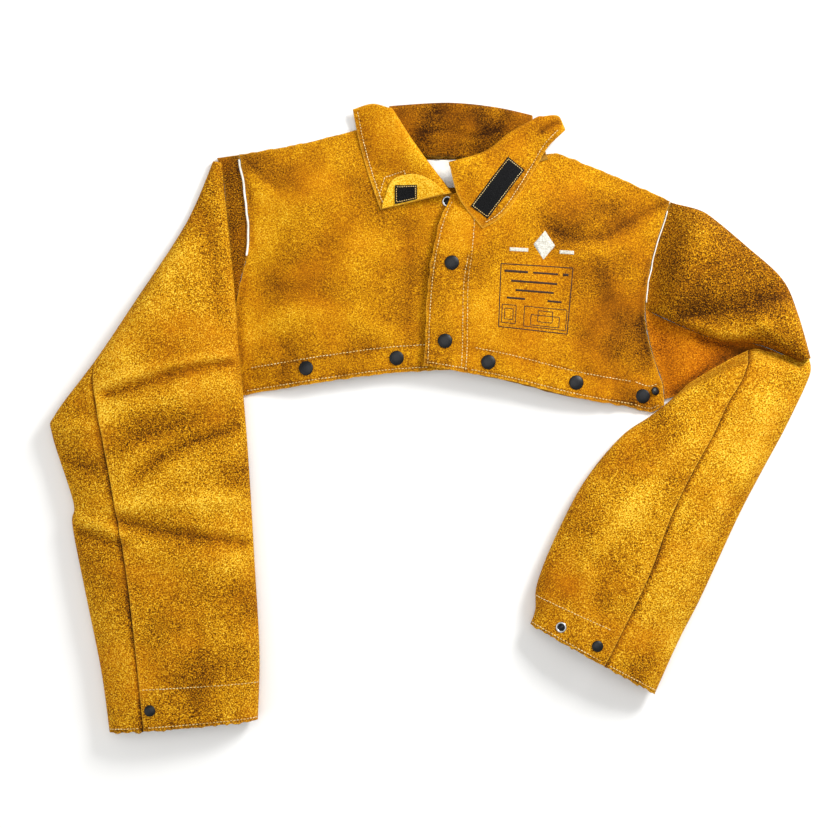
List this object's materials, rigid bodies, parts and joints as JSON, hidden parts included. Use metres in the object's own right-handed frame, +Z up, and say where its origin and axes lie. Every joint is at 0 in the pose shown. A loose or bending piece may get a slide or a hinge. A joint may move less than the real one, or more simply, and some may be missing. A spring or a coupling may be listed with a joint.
{
  "type": "leather welding jacket",
  "caption": "Cropped suede leather welding jacket with long sleeves, turn-down collar, throat tab and snap front, lying flat.",
  "frame": {"origin": "underside of the back panel in the middle of the chest, on the surface that the jacket lies on", "axes": "+Z up, away from that surface; +X towards the wearer's left sleeve; +Y towards the collar"},
  "size_m": [0.8967, 0.7428, 0.0452],
  "materials": {
    "suede": "golden brown split suede with a fine mottled nap",
    "suede_inside": "darker flesh side of the same split leather",
    "hook_and_loop": "matte black hook and loop tape",
    "snap_cap": "satin black enamelled snap cap",
    "snap_metal": "plated snap socket and stud",
    "piping": "white piping in the armhole seam",
    "woven_label": "blank white woven label"
  },
  "bodies": {
    "root": {"back_panel": "suede_inside", "back_hem_facing": "suede_inside", "neck_label": "woven_label", "right_front_panel": "suede", "right_hem_facing": "suede_inside", "left_side_panel": "suede", "left_hem_side_cap": "snap_cap", "collar_stand": "suede", "collar_fall": "suede", "right_armhole_piping": "piping", "left_armhole_piping": "piping", "right_sleeve_head": "suede", "placket_upper_stud": "snap_metal", "placket_lower_stud": "snap_metal", "placket_top_stud": "snap_metal", "right_hem_outer_cap": "snap_cap", "right_hem_outer_socket": "snap_metal", "right_hem_inner_cap": "snap_cap", "right_hem_inner_socket": "snap_metal"},
    "left_front": {"left_front_panel": "suede", "placket_facing": "suede_inside", "left_hem_facing": "suede_inside", "placket_upper_cap": "snap_cap", "placket_upper_socket": "snap_metal", "placket_lower_cap": "snap_cap", "placket_lower_socket": "snap_metal", "left_hem_inner_cap": "snap_cap", "left_hem_inner_socket": "snap_metal", "left_hem_middle_cap": "snap_cap", "left_hem_middle_socket": "snap_metal"},
    "left_collar": {"left_collar_leaf": "suede", "loop_strip": "hook_and_loop"},
    "right_collar": {"right_collar_leaf": "suede"},
    "throat_tab": {"throat_tab": "suede", "hook_patch": "hook_and_loop"},
    "right_upper_sleeve": {"right_upper_sleeve_top": "suede", "right_upper_sleeve_under": "suede"},
    "right_forearm": {"right_forearm_top": "suede", "right_forearm_under": "suede", "right_cuff_facing": "suede_inside", "right_cuff_cap": "snap_cap", "right_cuff_socket": "snap_metal"},
    "left_upper_sleeve": {"left_upper_sleeve_top": "suede", "left_upper_sleeve_under": "suede", "left_underarm_gusset": "suede"},
    "left_forearm": {"left_forearm_top": "suede", "left_forearm_under": "suede", "left_cuff_facing": "suede_inside", "left_cuff_cap": "snap_cap", "left_cuff_socket": "snap_metal", "left_cuff_stud": "snap_metal"}
  },
  "joints": [
    {"name": "front_opening", "type": "hinge", "parent": "root", "child": "left_front", "pos_m": [0.219, -0.151, 0.0215], "axis": [-0.2934, 0.956, 0], "range_deg": [0, 95]},
    {"name": "left_collar_turn", "type": "hinge", "parent": "left_front", "child": "left_collar", "pos_m": [0.104, 0.191, 0.0201], "axis": [-0.8709, -0.4728, 0.1344], "range_deg": [0, 85]},
    {"name": "right_collar_turn", "type": "hinge", "parent": "root", "child": "right_collar", "pos_m": [-0.001, 0.101, 0.03], "axis": [-0.5635, 0.8175, -0.1191], "range_deg": [0, 85]},
    {"name": "throat_tab_fold", "type": "hinge", "parent": "right_collar", "child": "throat_tab", "pos_m": [-0.08, 0.0839, 0.0218], "axis": [0.9661, 0.2154, 0.1423], "range_deg": [0, 150]},
    {"name": "right_shoulder_lift", "type": "hinge", "parent": "root", "child": "right_upper_sleeve", "pos_m": [-0.258, -0.012, 0.0424], "axis": [-0.0825, 0.9966, 0], "range_deg": [0, 70]},
    {"name": "right_elbow_lift", "type": "hinge", "parent": "right_upper_sleeve", "child": "right_forearm", "pos_m": [-0.234, -0.2683, 0.0424], "axis": [-0.9984, 0.057, 0], "range_deg": [0, 60]},
    {"name": "left_shoulder_swing", "type": "hinge", "parent": "root", "child": "left_upper_sleeve", "pos_m": [0.268, 0.092, 0.02], "axis": [0, 0, 1], "range_deg": [0, 12]},
    {"name": "left_elbow_lift", "type": "hinge", "parent": "left_upper_sleeve", "child": "left_forearm", "pos_m": [0.426, -0.093, 0.0424], "axis": [-0.9613, -0.2755, 0], "range_deg": [0, 60]}
  ]
}
